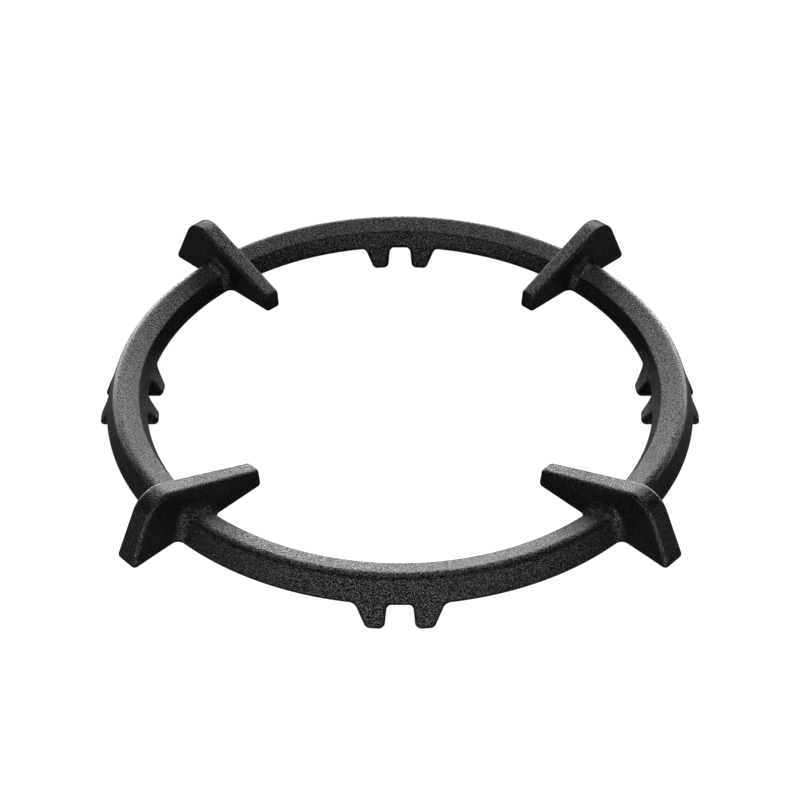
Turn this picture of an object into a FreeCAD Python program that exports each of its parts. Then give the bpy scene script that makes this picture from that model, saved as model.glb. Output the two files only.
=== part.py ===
"""Cast-iron wok ring for a gas hob, in millimetres.

A low ring carries four upright arms on its diagonals, which hold a round-bottomed pan, and four pairs
of lugs under it, which straddle the bars of the hob's pan supports. The real one is a single casting.
Its members are separate solids here: the ring, and each arm and each lug with the fillets of its root.
The origin is at the ring's centre, on the plane of the lugs' feet. The front is towards -Y.
"""
import FreeCAD, Part
import math
import os

from FreeCAD import Vector

# Ring: its section narrows upwards, high at the outer crest and low at the inner lip, with rounded edges
RING_OUTER_R = 120.7
RING_WIDTH = 17.95
RING_CREST_HEIGHT = 12.0
RING_LIP_HEIGHT = 8.2
RING_OUTER_TAPER = 4.7
RING_INNER_TAPER = 3.75
CREST_ROUND = 3.1
LIP_ROUND = 1.7
OUTER_EDGE_ROUND = 1.5
INNER_EDGE_ROUND = 2.0

# Lugs: each pair hangs below the ring with a notch between, open at both ends
LUG_DROP = 8.5
LUG_OUTER_TAPER = 3.97
LUG_INNER_TAPER = 3.95
NOTCH_ROOF_WIDTH = 9.2
NOTCH_DRAFT = math.radians(6.3)
LUG_FOOT_WIDTH = 6.65
SHOULDER_LEAN = math.radians(25.4)
LUG_CORNER_ROUND = 2.3
NOTCH_FILLET = 2.0
SHOULDER_FILLET = 3.0
LUG_PAIRS = 4

# Arms: upright fins across the ring, which reach out of it on both sides, lower inside it and steep outside
ARM_REACH_IN = 24.3
ARM_REACH_OUT = 21.95
ARM_LIFT = 0.5
ARM_TIP_HEIGHT = 8.65
ARM_TOP_SLOPE = math.radians(21.2)
ARM_TIP_LEAN = math.radians(3.6)
ARM_FOOT_LEAN = math.radians(27.9)
ARM_TIP_THICKNESS = 7.3
ARM_FOOT_THICKNESS = 10.3
ARM_SIDE_DRAFT = math.radians(1.0)
ARM_CREST_ROUND = 11.0
ARM_TIP_ROUND = 1.9
ARM_FOOT_ROUND = 1.9
ARM_EDGE_ROUND = 1.7
ARM_ROOT_FILLET = 4.2
ARMS = 4
FIRST_ARM_ANGLE = 45.0

# Clearance between the ring and the arms and lugs that sit on it
SEAT_GAP = 0.05

# Most of a lug's width that the rounding of one of its edges may take
EDGE_SHARE = 0.4

# Worked out from the sizes above
RING_BASE_Z = LUG_DROP
RING_INNER_R = RING_OUTER_R - RING_WIDTH
RING_CREST_R = RING_OUTER_R - RING_OUTER_TAPER
RING_LIP_R = RING_INNER_R + RING_INNER_TAPER
LUG_OUTER_LEAN = LUG_OUTER_TAPER / LUG_DROP
LUG_INNER_LEAN = LUG_INNER_TAPER / LUG_DROP
OUTER_ROUND = min(OUTER_EDGE_ROUND, EDGE_SHARE * LUG_FOOT_WIDTH)
INNER_ROUND = min(INNER_EDGE_ROUND, EDGE_SHARE * LUG_FOOT_WIDTH)
ARM_TIP_R = RING_INNER_R - ARM_REACH_IN
ARM_FOOT_R = RING_OUTER_R + ARM_REACH_OUT

CENTRE = Vector(0, 0, 0)
UP = Vector(0, 0, 1)
ALONG = Vector(1, 0, 0)
FULL_TURN = 360.0

# Lengths below which two points count as one, and a point counts as lying on a face
SAME_POINT = 1e-6
ON_FACE = 0.01


def rounded_wire(corners, place):
    """Closed wire through (a, b, radius) corners, each rounded by an arc; place sets a point in space."""
    arcs = []
    for i, (a, b, radius) in enumerate(corners):
        corner = Vector(a, b, 0)
        back = Vector(*corners[i - 1][:2], 0) - corner
        ahead = Vector(*corners[(i + 1) % len(corners)][:2], 0) - corner
        half = back.getAngle(ahead) / 2
        back.normalize()
        ahead.normalize()
        middle = (back + ahead).normalize()
        reach = radius / math.tan(half)
        nearest = corner + middle * (radius / math.sin(half) - radius)
        arcs.append((corner + back * reach, nearest, corner + ahead * reach))
    edges = []
    for i, (start, nearest, end) in enumerate(arcs):
        if (end - start).Length > SAME_POINT:
            edges.append(Part.Arc(place(start), place(nearest), place(end)).toShape())
        following = arcs[(i + 1) % len(arcs)][0]
        if (following - end).Length > SAME_POINT:
            edges.append(Part.LineSegment(place(end), place(following)).toShape())
    return Part.Wire(edges)


def middle_of(edge):
    """Point half way along an edge."""
    return edge.valueAt((edge.FirstParameter + edge.LastParameter) / 2)


def turned(shape, angle):
    """Copy of a shape turned about the ring's axis by an angle in degrees."""
    copy = shape.copy()
    copy.rotate(CENTRE, UP, angle)
    return copy


def lug_radius(z):
    """Inner and outer radius of the lugs' leaning walls at a height below the ring."""
    drop = RING_BASE_Z - z
    return RING_INNER_R - LUG_INNER_LEAN * drop, RING_OUTER_R + LUG_OUTER_LEAN * drop


def turned_section(corners, sweep, grow=0.0):
    """Rounded section turned about the axis, centred on +X; corners are (radius, height, rounding)."""
    section = rounded_wire(corners, lambda p: Vector(p.x, 0, p.y))
    if grow:
        section = section.makeOffset2D(grow)
    return turned(Part.Face(section).revolve(CENTRE, UP, sweep), -sweep / 2)


def ring_top():
    """Corners of the ring's crest and lip."""
    return [
        (RING_CREST_R, RING_BASE_Z + RING_CREST_HEIGHT, CREST_ROUND),
        (RING_LIP_R, RING_BASE_Z + RING_LIP_HEIGHT, LIP_ROUND),
    ]


def turned_ring(sweep=FULL_TURN, grow=0.0):
    """Ring, or a stretch of it centred on +X."""
    base = [(RING_INNER_R, RING_BASE_Z, INNER_ROUND), (RING_OUTER_R, RING_BASE_Z, OUTER_ROUND)]
    return turned_section(base + ring_top(), sweep, grow)


def deep_ring(sweep):
    """Stretch of ring with its walls carried on down to the feet of the lugs, where they lean further."""
    inner_foot, outer_foot = lug_radius(0.0)
    corners = [
        (RING_INNER_R, RING_BASE_Z, 0.0),
        (inner_foot, 0.0, 0.0),
        (outer_foot, 0.0, 0.0),
        (RING_OUTER_R, RING_BASE_Z, 0.0),
    ]
    return turned_section(corners + ring_top(), sweep)


def whole_ring(grow=0.0):
    """The plain ring all round, split at each notch's flat roof; grown, it cuts the seats on it."""
    flat = NOTCH_ROOF_WIDTH / 2 - NOTCH_FILLET
    roof = 2 * math.degrees(math.asin(flat / RING_OUTER_R))
    step = FULL_TURN / LUG_PAIRS
    at_notch = turned_ring(roof, grow)
    between = turned(turned_ring(step - roof, grow), step / 2)
    stretches = [turned(stretch, step * k) for k in range(LUG_PAIRS) for stretch in (at_notch, between)]
    return stretches[0].fuse(stretches[1:]).Solids[0]


def lug_pair_outline():
    """Prism along X with the outline of one lug pair below and a plain block above the ring's underside."""
    roof = NOTCH_ROOF_WIDTH / 2
    mouth = roof + LUG_DROP * math.tan(NOTCH_DRAFT)
    heel = mouth + LUG_FOOT_WIDTH
    shoulder = heel + LUG_DROP * math.tan(SHOULDER_LEAN)
    side = [
        (roof, RING_BASE_Z, NOTCH_FILLET),
        (mouth, 0.0, LUG_CORNER_ROUND),
        (heel, 0.0, LUG_CORNER_ROUND),
        (shoulder, RING_BASE_Z, SHOULDER_FILLET),
        (RING_OUTER_R, RING_BASE_Z, 0.0),
        (RING_OUTER_R, RING_BASE_Z + 2 * RING_CREST_HEIGHT, 0.0),
    ]
    other = [(-a, b, radius) for a, b, radius in reversed(side)]
    face = Part.Face(rounded_wire(side + other, lambda p: Vector(0, p.x, p.y)))
    return face.extrude(ALONG * (RING_OUTER_R + LUG_DROP))


def lower_edges(solid, wall):
    """Edges of the underside and the lugs that lie on the inner (0) or the outer (1) wall of the ring."""
    found = []
    for edge in solid.Edges:
        point = middle_of(edge)
        off_wall = abs(math.hypot(point.x, point.y) - lug_radius(point.z)[wall])
        if off_wall < ON_FACE and point.z < RING_BASE_Z + ON_FACE:
            found.append(edge)
    return found


def lug_pair(seat):
    """Two lugs on +X, cut from a stretch of ring that is deep enough, less the ring and its seat gap."""
    solid = deep_ring(FULL_TURN / LUG_PAIRS).common(lug_pair_outline()).Solids[0]
    solid = solid.makeFillet(OUTER_ROUND, lower_edges(solid, 1))
    solid = solid.makeFillet(INNER_ROUND, lower_edges(solid, 0))
    return solid.cut(seat).Solids


def half_thickness(r, z):
    """Half the arm's thickness: wider towards its foot, narrower towards its top."""
    share = (r - ARM_TIP_R) / (ARM_FOOT_R - ARM_TIP_R)
    at_base = ARM_TIP_THICKNESS + share * (ARM_FOOT_THICKNESS - ARM_TIP_THICKNESS)
    return at_base / 2 - (z - RING_BASE_Z) * math.tan(ARM_SIDE_DRAFT)


def taper_block(r_near, r_far, z_low, z_high):
    """Block between the arm's two leaning side planes, long and tall enough to hold the whole arm."""
    outline = [(r_near, z_low), (r_far, z_low), (r_far, z_high), (r_near, z_high)]
    left = [Vector(r, half_thickness(r, z), z) for r, z in outline]
    right = [Vector(r, -half_thickness(r, z), z) for r, z in outline]
    quads = [left, right]
    quads += [[left[k - 1], left[k], right[k], right[k - 1]] for k in range(len(outline))]
    faces = [Part.Face(Part.makePolygon(quad + quad[:1])) for quad in quads]
    return Part.makeSolid(Part.makeShell(faces))


def plain_fin():
    """One arm along +X as an upright fin with its outline's corners and its edges rounded, no root yet."""
    low = RING_BASE_Z + ARM_LIFT
    slope, tip_lean, foot_lean = math.tan(ARM_TOP_SLOPE), math.tan(ARM_TIP_LEAN), math.tan(ARM_FOOT_LEAN)
    tip_top = ARM_TIP_HEIGHT / (1 - slope * tip_lean)
    crest = (ARM_TIP_HEIGHT + slope * (ARM_FOOT_R - ARM_TIP_R)) / (1 + slope * foot_lean)
    corners = [
        (ARM_TIP_R + tip_lean * ARM_LIFT, low, ARM_TIP_ROUND),
        (ARM_FOOT_R - foot_lean * ARM_LIFT, low, ARM_FOOT_ROUND),
        (ARM_FOOT_R - foot_lean * crest, RING_BASE_Z + crest, ARM_CREST_ROUND),
        (ARM_TIP_R + tip_lean * tip_top, RING_BASE_Z + tip_top, ARM_TIP_ROUND),
    ]
    wide = 2 * ARM_FOOT_THICKNESS
    face = Part.Face(rounded_wire(corners, lambda p: Vector(p.x, -wide / 2, p.y)))
    blank = face.extrude(Vector(0, wide, 0))
    block = taper_block(ARM_TIP_R - wide, ARM_FOOT_R + wide, 0.0, RING_BASE_Z + crest + wide)
    fin = blank.common(block).Solids[0]
    rims = []
    for edge in fin.Edges:
        point = middle_of(edge)
        if abs(abs(point.y) - half_thickness(point.x, point.z)) < ON_FACE:
            rims.append(edge)
    return fin.makeFillet(ARM_EDGE_ROUND, rims)


def rooted_arm(seat):
    """One arm along +X: the fin joined to the ring by a fillet all round, less the ring and its gap."""
    fin = plain_fin()
    ring = turned_ring()
    joined = ring.fuse(fin)
    crossings = [middle_of(edge) for edge in ring.section(fin).Edges]
    roots = []
    for edge in joined.Edges:
        point = middle_of(edge)
        if any(point.distanceToPoint(crossing) < ON_FACE for crossing in crossings):
            roots.append(edge)
    return joined.makeFillet(ARM_ROOT_FILLET, roots).cut(seat).Solids[0]


def side_of(point):
    """Which side of the ring a point is on: front, right, back or left."""
    if abs(point.y) > abs(point.x):
        return "back" if point.y > 0 else "front"
    return "right" if point.x > 0 else "left"


def arm_name(arm):
    """Name of an arm by its corner of the ring."""
    middle = arm.CenterOfMass
    return f"arm_{'back' if middle.y > 0 else 'front'}_{'right' if middle.x > 0 else 'left'}"


def lug_name(lug):
    """Name of a lug by its side of the ring and its place in the pair there."""
    middle = lug.CenterOfMass
    along_side = Vector(0, middle.y, 0) if side_of(middle) in ("left", "right") else Vector(middle.x, 0, 0)
    return f"lug_{side_of(middle)}_{side_of(along_side)}"


def main():
    os.makedirs("parts", exist_ok=True)
    seat = whole_ring(SEAT_GAP)
    pair = lug_pair(seat)
    arm = rooted_arm(seat)
    nodes = {"ring": whole_ring()}
    for k in range(ARMS):
        copy = turned(arm, FIRST_ARM_ANGLE + FULL_TURN / ARMS * k)
        nodes[arm_name(copy)] = copy
    for k in range(LUG_PAIRS):
        for lug in pair:
            copy = turned(lug, FULL_TURN / LUG_PAIRS * k)
            nodes[lug_name(copy)] = copy
    for name, shape in nodes.items():
        shape.exportStep(f"parts/{name}.step")
        box = shape.optimalBoundingBox()
        size = f"{box.XLength:.1f} x {box.YLength:.1f} x {box.ZLength:.1f} mm"
        state = "valid" if shape.isValid() else "not valid"
        print(f"{name}: {state}, {shape.Volume / 1000:.2f} cm3, {size}")
    total = sum(shape.Volume for shape in nodes.values())
    print(f"{len(nodes)} nodes, {total / 1000:.1f} cm3 in all")


main()
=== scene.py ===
# %% [markdown]
# A cast-iron wok ring for a gas hob.
#
# The ring stands on a hob's pan supports and cradles a round-bottomed pan. On the real object it is one
# casting: a low ring, four arms on its diagonals and four pairs of lugs below, all in matt black enamel.
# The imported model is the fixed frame: this lesson never moves or resizes it, and works in its metres.

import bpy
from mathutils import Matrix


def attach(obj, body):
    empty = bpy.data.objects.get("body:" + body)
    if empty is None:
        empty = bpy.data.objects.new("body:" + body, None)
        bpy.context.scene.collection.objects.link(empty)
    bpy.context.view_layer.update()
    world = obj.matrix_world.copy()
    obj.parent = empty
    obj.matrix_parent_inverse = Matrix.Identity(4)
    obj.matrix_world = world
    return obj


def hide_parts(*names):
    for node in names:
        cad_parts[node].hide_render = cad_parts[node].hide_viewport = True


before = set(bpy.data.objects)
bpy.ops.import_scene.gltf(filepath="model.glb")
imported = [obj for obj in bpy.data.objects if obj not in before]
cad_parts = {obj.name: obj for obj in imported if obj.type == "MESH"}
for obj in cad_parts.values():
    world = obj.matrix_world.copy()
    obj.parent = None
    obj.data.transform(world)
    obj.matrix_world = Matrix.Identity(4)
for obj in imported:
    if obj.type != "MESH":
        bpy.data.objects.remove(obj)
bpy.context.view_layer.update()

import math

import bpy
from mathutils import Matrix, Vector

MM = 0.001

# %% [markdown]
# The camera comes first, because every later choice is compared with the photograph.
#
# Its lens and place were fitted to the outline of the ring, its arms and its lugs in the photograph. It
# looks down at about 40 degrees from the front, with a long lens. A view set by eye would be quicker, but
# then no size could be compared.

# %% Set up the camera
CAMERA_BACK = 482.3 * MM
CAMERA_HEIGHT = 407.0 * MM
CAMERA_PITCH = math.radians(39.92)
CAMERA_LENS = 67.88
SENSOR_WIDTH = 36.0

bpy.ops.object.select_all(action="DESELECT")
bpy.ops.object.camera_add(location=(0, -CAMERA_BACK, CAMERA_HEIGHT),
                          rotation=(math.pi / 2 - CAMERA_PITCH, 0, 0))
camera = bpy.context.object
camera.name = "camera"
camera.data.lens = CAMERA_LENS
camera.data.sensor_width = SENSOR_WIDTH
bpy.context.scene.camera = camera
print("camera at", [round(x, 3) for x in camera.location])

# %% [markdown]
# Colours are written as the sRGB hex values that a colour picker shows. Shaders work in linear light, so
# one function turns one into the other. A second small function adds a node with its inputs and links.

# %% Helpers for colours and nodes
def linear(code):
    """Linear red, green, blue and alpha of an sRGB hex colour such as 1c1c1d."""
    parts = [int(code[k:k + 2], 16) / 255 for k in (0, 2, 4)]
    return [c / 12.92 if c <= 0.04045 else ((c + 0.055) / 1.055) ** 2.4 for c in parts] + [1.0]


def add_node(tree, kind, links=None, inputs=None):
    """New node of a kind with its constant inputs, and links from other nodes' outputs."""
    node = tree.nodes.new(kind)
    for name, value in (inputs or {}).items():
        node.inputs[name].default_value = value
    for name, output in (links or {}).items():
        tree.links.new(output, node.inputs[name])
    return node


print("the grey 808080 is", round(linear("808080")[0], 3), "in linear light")

# %% [markdown]
# The light is a set of softboxes, as in a product studio: a large one behind and above, low strips behind,
# in front and at the sides, one overhead, and a weak fill from the front.
#
# A dome of even light would be simpler, but black enamel shows hardly any light of its own colour. It shows
# the lamps that it mirrors at a slant, so the lamps decide which faces are pale and which stay black. The
# strip behind reaches a little below the horizon, and a faint glow from underneath stands for the pale
# floor. The Standard view shows the greys as they are, with no film curve.

# %% Build the light
LAMP_DISTANCE = 2.0
AIM = Vector((0, 0, 15 * MM))
AMBIENT = 0.045


def softbox(name, azimuth, elevation, width, height, brightness):
    """Rectangular lamp aimed at the object. All angles are in degrees; azimuth 0 is straight behind it."""
    side = math.radians(azimuth)
    rise = math.radians(elevation)
    away = Vector((math.cos(rise) * math.sin(side), math.cos(rise) * math.cos(side), math.sin(rise)))
    bpy.ops.object.select_all(action="DESELECT")
    bpy.ops.object.light_add(type="AREA", location=AIM + LAMP_DISTANCE * away,
                             rotation=away.to_track_quat("Z", "Y").to_euler())
    lamp = bpy.context.object
    lamp.name = name
    lamp.visible_camera = False
    lamp.data.shape = "RECTANGLE"
    lamp.data.size = 2 * LAMP_DISTANCE * math.tan(math.radians(width) / 2)
    lamp.data.size_y = 2 * LAMP_DISTANCE * math.tan(math.radians(height) / 2)
    lamp.data.energy = math.pi * lamp.data.size * lamp.data.size_y * brightness
    print(name, "of", round(lamp.data.size, 2), "by", round(lamp.data.size_y, 2), "m")
    return lamp


# Azimuth, elevation, width and height of each lamp as seen from the object, then its brightness
softbox("back_softbox", 0, 25, 64, 30, 7.6)
back_strip = softbox("back_strip", 0, -1, 110, 11, 18.5)
softbox("top_softbox", 0, 83, 40, 16, 10.0)
softbox("front_strip", 180, 4, 120, 8, 15.0)
softbox("front_fill", 180, 50, 60, 30, 0.8)
softbox("left_strip", -102, 5, 50, 14, 1.2)
softbox("right_strip", 102, 5, 50, 14, 1.2)
softbox("table_glow", 0, -90, 120, 120, 0.1)

world = bpy.data.worlds.new("ambient")
world.use_nodes = True
bpy.context.scene.world = world
world.node_tree.nodes.clear()
haze = add_node(world.node_tree, "ShaderNodeBackground", inputs={"Strength": AMBIENT})
add_node(world.node_tree, "ShaderNodeOutputWorld", {"Surface": haze.outputs["Background"]})
bpy.context.scene.view_settings.view_transform = "Standard"

# %% [markdown]
# The floor is plain and white, and so is the backdrop behind it. Both glow evenly, as if lit by lamps of
# their own, so the object's shadow stays faint, and they throw no light back at the object.
#
# A white floor lit by the lamps above would be simpler, but it would be uneven, and its colour would change
# the light on the object.

# %% Lay the floor
FLOOR_SIZE = 14.0
BACKDROP_RADIUS = 6.0
GLOW = "fafafa"
FLOOR_COLOUR = "7c7c7c"


def pale_stage(piece, name, colour=None):
    """Glowing white surface that only the camera sees; with a colour, it also takes shadows."""
    material = bpy.data.materials.new(name)
    material.use_nodes = True
    tree = material.node_tree
    tree.nodes.clear()
    surface = add_node(tree, "ShaderNodeEmission", inputs={"Color": linear(GLOW)}).outputs["Emission"]
    if colour:
        paint = add_node(tree, "ShaderNodeBsdfDiffuse", inputs={"Color": linear(colour)})
        both = add_node(tree, "ShaderNodeAddShader", {0: surface, 1: paint.outputs["BSDF"]})
        surface = both.outputs["Shader"]
    add_node(tree, "ShaderNodeOutputMaterial", {"Surface": surface})
    piece.name = name
    piece.data.materials.append(material)
    piece.visible_diffuse = False
    piece.visible_glossy = False
    piece.visible_shadow = False


bpy.ops.object.select_all(action="DESELECT")
bpy.ops.mesh.primitive_plane_add(size=FLOOR_SIZE)
pale_stage(bpy.context.object, "floor", FLOOR_COLOUR)
bpy.ops.object.select_all(action="DESELECT")
bpy.ops.mesh.primitive_uv_sphere_add(radius=BACKDROP_RADIUS)
pale_stage(bpy.context.object, "backdrop")
print("floor of", FLOOR_SIZE, "m, backdrop", BACKDROP_RADIUS, "m away")

# %% [markdown]
# The ring, its arms and its lugs are one casting, so no joint line shows between them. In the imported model
# they are separate, with a hair of clearance between them that could show as a dark line.
#
# The coat of enamel hides it here: the ring is made again, fatter by just over the clearance, and stands for
# the plain one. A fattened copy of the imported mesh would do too, but its uneven normals leave dark patches.
# So the ring's section is drawn first: four corners, each rounded by an arc and grown by the coat.

# %% Draw the ring's section
COAT = 0.055 * MM
CORNER_STEPS = 10

# Radius, height and rounding of each corner
UNDERSIDE = 8.5 * MM
INNER_EDGE = (102.75 * MM, UNDERSIDE, 2.0 * MM)
OUTER_EDGE = (120.7 * MM, UNDERSIDE, 1.5 * MM)
CREST = (116.0 * MM, 20.5 * MM, 3.1 * MM)
LIP = (106.5 * MM, 16.7 * MM, 1.7 * MM)


def coated_outline(corners):
    """Points round a section whose corners (radius, height, rounding) are rounded by arcs and coated."""
    points = []
    for k, (radius, height, rounding) in enumerate(corners):
        corner = Vector((radius, height))
        back = (Vector(corners[k - 1][:2]) - corner).normalized()
        ahead = (Vector(corners[(k + 1) % len(corners)][:2]) - corner).normalized()
        half = back.angle(ahead) / 2
        centre = corner + (back + ahead).normalized() * rounding / math.sin(half)
        spoke = corner + back * rounding / math.tan(half) - centre
        spoke *= 1 + COAT / rounding
        for step in range(CORNER_STEPS + 1):
            turn = (math.pi - 2 * half) * step / CORNER_STEPS
            points.append(centre + Matrix.Rotation(turn, 2) @ spoke)
    return points


outline = coated_outline([INNER_EDGE, OUTER_EDGE, CREST, LIP])
print(len(outline), "points round the section")

# %% [markdown]
# The ring has the same section all the way round, so it is made as on a lathe: a circle of points is moved
# onto the section, which is then spun about the axis.
#
# A torus could be squeezed instead, but its section would stay an oval. The steps are close enough to keep
# the straight stretches under 3 mm, the seam is merged, and weighted normals keep the walls even, so that
# only the narrow rounds bend the light.

# %% Spin the ring
SPIN_STEPS = 288
SAME_PLACE = 0.001 * MM

bpy.ops.object.select_all(action="DESELECT")
bpy.ops.mesh.primitive_circle_add(vertices=len(outline))
coat = bpy.context.object
coat.name = "ring_coat"
for vertex, point in zip(coat.data.vertices, outline):
    vertex.co = (point.x, 0, point.y)
bpy.ops.object.mode_set(mode="EDIT")
bpy.ops.mesh.select_all(action="SELECT")
bpy.ops.mesh.spin(steps=SPIN_STEPS, angle=2 * math.pi, center=(0, 0, 0), axis=(0, 0, 1))
bpy.ops.mesh.select_all(action="SELECT")
bpy.ops.mesh.remove_doubles(threshold=SAME_PLACE)
bpy.ops.mesh.normals_make_consistent(inside=False)
bpy.ops.object.mode_set(mode="OBJECT")
bpy.ops.object.shade_smooth()
coat.modifiers.new("even_walls", "WEIGHTED_NORMAL")
bpy.ops.object.modifier_apply(modifier="even_walls")
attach(coat, "root")
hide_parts("ring")
print("coat of", len(coat.data.polygons), "faces,", [round(x / MM, 2) for x in coat.dimensions], "mm")

# %% [markdown]
# The finish is matt black enamel on sand-cast iron: a thin glassy coat that follows the grain of the sand.
#
# The grain shows in two ways. Its bumps turn the mirrored light a little from speck to speck, and its pores
# swallow it. So one noise drives the bump and how strongly the coat mirrors, both face on (the tint) and at
# a slant (the level). The black underneath stays the same all over. A painted speckle would be simpler, but
# it would not follow the light. Real sand is finer, about 0.2 mm, and would not show from here, so the grain
# is drawn at 0.36 mm, about as wide as one pixel of the picture.

# %% Make the finish
ENAMEL_COLOUR = "0a0a0a"
ENAMEL_ROUGHNESS = 0.31
ENAMEL_IOR = 1.5
GRAIN = 0.36 * MM
GRAIN_DEPTH = 0.45 * GRAIN

# Heights of the noise, from 0 to 1, at which the pores end and the smooth coat begins
PORE_TOP = 0.45
COAT_BOTTOM = 0.59

# How strongly the pores and the smooth coat mirror at a slant, where 0.5 leaves the IOR as it is
PORE_LEVEL = 0.1
COAT_LEVEL = 0.5


def enamelled_iron():
    """Matt black enamel over the grain of sand-cast iron: dark face on, pale and speckled at a slant."""
    material = bpy.data.materials.new("black_enamelled_cast_iron")
    material.use_nodes = True
    tree = material.node_tree
    tree.nodes.clear()
    place = add_node(tree, "ShaderNodeTexCoord").outputs["Object"]
    grain = add_node(tree, "ShaderNodeTexNoise", {"Vector": place},
                     {"Scale": 1 / GRAIN, "Detail": 0.0}).outputs["Fac"]
    pores = add_node(tree, "ShaderNodeMapRange", {"Value": grain},
                     {"From Min": PORE_TOP, "From Max": COAT_BOTTOM}).outputs["Result"]
    gloss = add_node(tree, "ShaderNodeMapRange", {"Value": pores},
                     {"To Min": PORE_LEVEL, "To Max": COAT_LEVEL}).outputs["Result"]
    relief = add_node(tree, "ShaderNodeBump", {"Height": grain},
                      {"Strength": 1.0, "Distance": GRAIN_DEPTH}).outputs["Normal"]
    shader = add_node(tree, "ShaderNodeBsdfPrincipled",
                      {"Normal": relief, "Specular Tint": pores, "Specular IOR Level": gloss},
                      {"Base Color": linear(ENAMEL_COLOUR), "Roughness": ENAMEL_ROUGHNESS,
                       "IOR": ENAMEL_IOR})
    add_node(tree, "ShaderNodeOutputMaterial", {"Surface": shader.outputs["BSDF"]})
    return material


enamel = enamelled_iron()
castings = [coat] + [node for name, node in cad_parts.items() if name != "ring"]
for piece in castings:
    piece.data.materials.clear()
    piece.data.materials.append(enamel)
print("finish on", len(castings), "pieces")

# %% [markdown]
# In a studio black cards, called flags, keep the glare of a lamp off one part of the object. Without them
# the low strip behind washes the crests of the back arms out to white.
#
# Cards could be built and hidden from the camera, but they would have to stand close behind the arms. The
# lamp is told which pieces it lights instead: all but the back arms.

# %% Flag the back arms
back_arms = [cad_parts[name] for name in ("arm_back_left", "arm_back_right")]

in_strip_light = bpy.data.collections.new("in_strip_light")
for piece in castings:
    if piece not in back_arms:
        in_strip_light.objects.link(piece)
back_strip.light_linking.receiver_collection = in_strip_light
